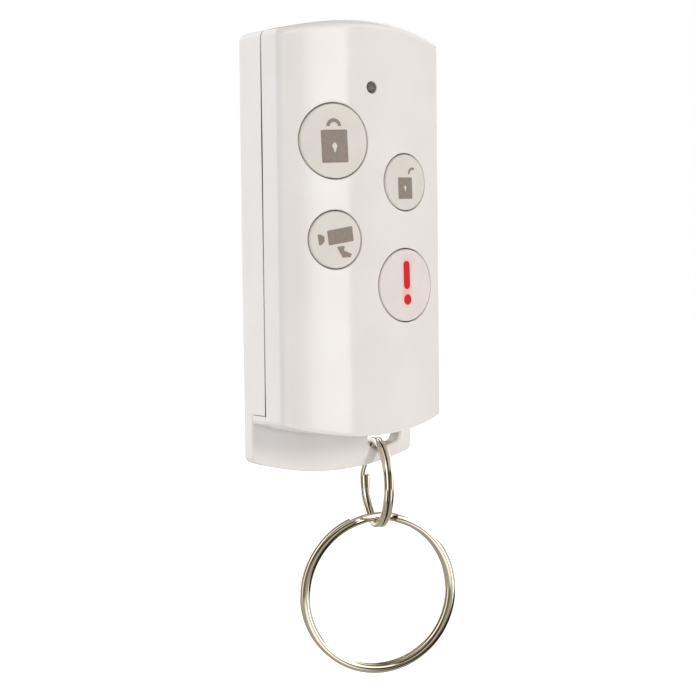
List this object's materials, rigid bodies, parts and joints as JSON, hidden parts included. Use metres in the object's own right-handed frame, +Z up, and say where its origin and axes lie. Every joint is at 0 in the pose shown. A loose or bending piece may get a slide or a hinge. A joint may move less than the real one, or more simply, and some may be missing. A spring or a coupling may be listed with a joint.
{
  "type": "alarm key fob",
  "caption": "Hand-held alarm remote: bowed white housing with round spring-return buttons, a small indicator window, and a chin slot carrying linked split rings.",
  "frame": {"origin": "on the flat back of the housing, level with the middle of the front cover", "axes": "+X to the right as the buttons are read, +Y out of the back, +Z up from the chin towards the indicator"},
  "size_m": [0.0417, 0.0219, 0.1144],
  "materials": {
    "front_shell": "high gloss white ABS",
    "rear_shell": "high gloss white ABS",
    "button_caps": "satin warm white ABS, slightly translucent",
    "switch_bodies": "moulded black",
    "plungers": "moulded black",
    "pressed_steel": "tinned",
    "spring_steel": "nickel plated",
    "board_laminate": "green solder mask",
    "led_package": "white body, milky lens",
    "smoked_lens": "dark textured plastic",
    "chip_epoxy": "moulded epoxy",
    "crystal_can": "nickel plated can",
    "ceramic_parts": "ceramic with tinned ends",
    "antenna_wire": "bare wire",
    "cell_steel": "nickel plated can",
    "holder_plastic": "moulded black",
    "screw_steel": "zinc plated",
    "nickel_rings": "nickel plated spring steel",
    "icon_print": "pad-printed taupe ink",
    "alert_print": "pad-printed red ink"
  },
  "bodies": {
    "housing": {"front_cover": "front_shell", "rear_cover": "rear_shell", "lock_switch": "switch_bodies", "unlock_switch": "switch_bodies", "camera_switch": "switch_bodies", "panic_switch": "switch_bodies", "switch_plates": "pressed_steel", "cell_clip": "spring_steel", "cell_pad": "spring_steel", "circuit_board": "board_laminate", "status_led": "led_package", "indicator_lens": "smoked_lens", "radio_chip": "chip_epoxy", "microcontroller": "chip_epoxy", "crystal": "crystal_can", "board_parts": "ceramic_parts", "antenna": "antenna_wire", "coin_cell": "cell_steel", "cell_holder": "holder_plastic", "cover_screw": "screw_steel"},
    "lock_key": {"lock_button": "button_caps", "lock_plunger": "plungers"},
    "unlock_key": {"unlock_button": "button_caps", "unlock_plunger": "plungers"},
    "camera_key": {"camera_button": "button_caps", "camera_plunger": "plungers"},
    "panic_key": {"panic_button": "button_caps", "panic_plunger": "plungers"},
    "small_ring": {"small_split_ring": "nickel_rings"},
    "large_ring": {"large_split_ring": "nickel_rings"}
  },
  "joints": [
    {"name": "lock_press", "type": "slide", "parent": "housing", "child": "lock_key", "axis": [0, 1, 0], "range_m": [0, 0.0005], "stiffness_N_per_m": 1500, "springref_m": -0.0003},
    {"name": "unlock_press", "type": "slide", "parent": "housing", "child": "unlock_key", "axis": [0, 1, 0], "range_m": [0, 0.0005], "stiffness_N_per_m": 1500, "springref_m": -0.0003},
    {"name": "camera_press", "type": "slide", "parent": "housing", "child": "camera_key", "axis": [0, 1, 0], "range_m": [0, 0.0005], "stiffness_N_per_m": 1500, "springref_m": -0.0003},
    {"name": "panic_press", "type": "slide", "parent": "housing", "child": "panic_key", "axis": [0, 1, 0], "range_m": [0, 0.0005], "stiffness_N_per_m": 1500, "springref_m": -0.0003},
    {"name": "small_ring_swing", "type": "hinge", "parent": "housing", "child": "small_ring", "pos_m": [0.0104, -0.0015, -0.0415], "axis": [0.9397, -0.342, 0], "range_deg": [-50, 60]},
    {"name": "large_ring_swing", "type": "hinge", "parent": "small_ring", "child": "large_ring", "pos_m": [0.0106, -0.0015, -0.0548], "axis": [0.342, 0.9397, 0], "range_deg": [-60, 60]}
  ]
}
